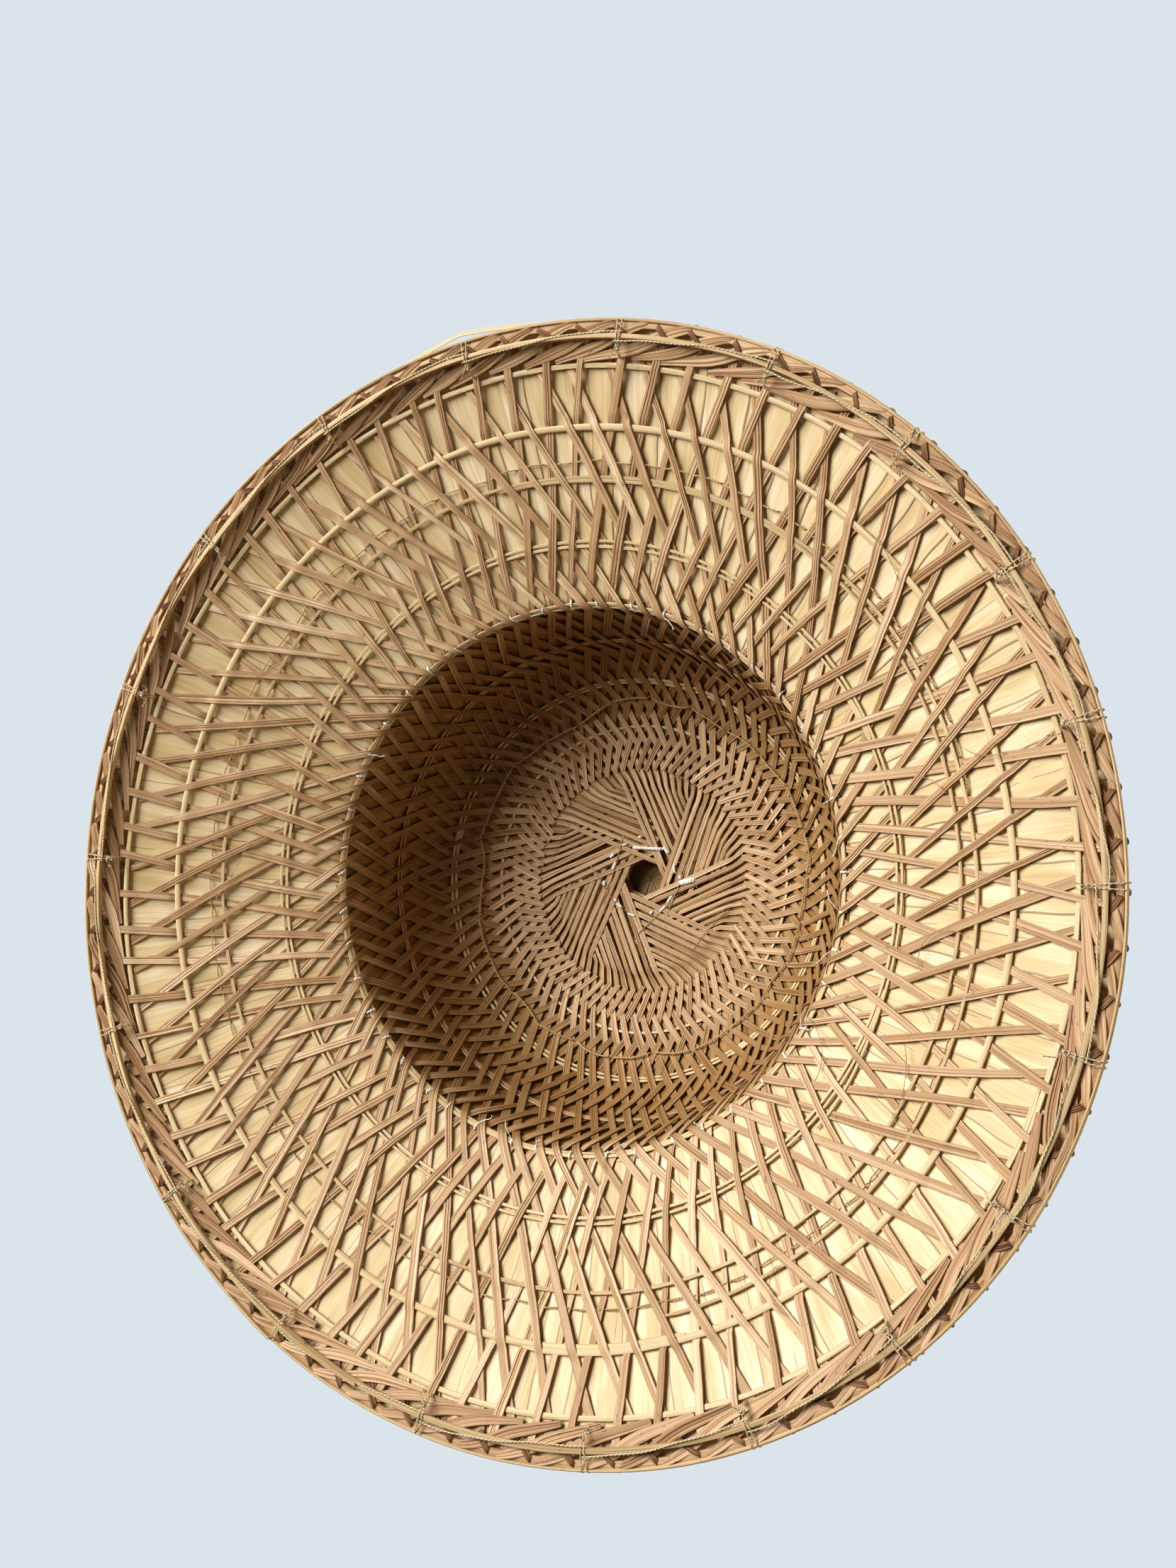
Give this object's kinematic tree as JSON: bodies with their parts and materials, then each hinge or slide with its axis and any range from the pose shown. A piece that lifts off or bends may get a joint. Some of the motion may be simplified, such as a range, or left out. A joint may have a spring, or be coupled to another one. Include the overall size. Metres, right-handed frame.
{
  "type": "conical hat",
  "caption": "Woven bamboo conical hat with a wide straight brim, a deep domed crown, a leaf layer between two splint lattices and a twine-tied rim.",
  "frame": {"origin": "centre of the plane that the rim's two hoops rest on", "axes": "+Z along the hat's own axis from the rim to the crown's apex; +X and +Y lie in the rim plane"},
  "size_m": [0.3993, 0.3984, 0.1398],
  "materials": {
    "inner_splint": "matt split bamboo with fine fibre streaks",
    "outer_splint": "satin bamboo skin side, weathered",
    "leaf": "dry cream bamboo leaf with fine veins",
    "pale_hoop": "pale split bamboo, slightly glossy",
    "rim_splint": "brown-grey folded splints",
    "rim_twine": "grey-white twisted twine",
    "tan_thread": "thin tan fibre thread",
    "white_thread": "white cotton thread"
  },
  "bodies": {
    "root": {"inner_splints_right": "inner_splint", "inner_splints_left": "inner_splint", "inner_star": "inner_splint", "outer_splints_right": "outer_splint", "outer_splints_left": "outer_splint", "outer_star": "outer_splint", "brim_leaves": "leaf", "crown_wall_leaves": "leaf", "crown_shoulder_leaves": "leaf", "crown_roof_leaves": "leaf", "edge_hoop": "pale_hoop", "outer_brim_hoop": "pale_hoop", "thin_brim_hoop": "pale_hoop", "double_brim_hoop": "pale_hoop", "mouth_ring": "pale_hoop", "low_crown_hoop": "pale_hoop", "middle_crown_hoop": "pale_hoop", "top_crown_hoop": "pale_hoop", "outer_shell_brim_hoops": "pale_hoop", "outer_shell_crown_hoops": "pale_hoop", "rim_hoop_inner": "rim_splint", "rim_hoop_outer": "pale_hoop", "rim_fold_band": "rim_splint", "rim_ties": "rim_twine", "rim_twine": "rim_twine", "mouth_ties": "white_thread", "brim_stitches": "tan_thread", "crown_stitches": "tan_thread", "apex_stitches": "white_thread", "peak_cap": "leaf", "peak_ring": "pale_hoop"}
  },
  "joints": []
}
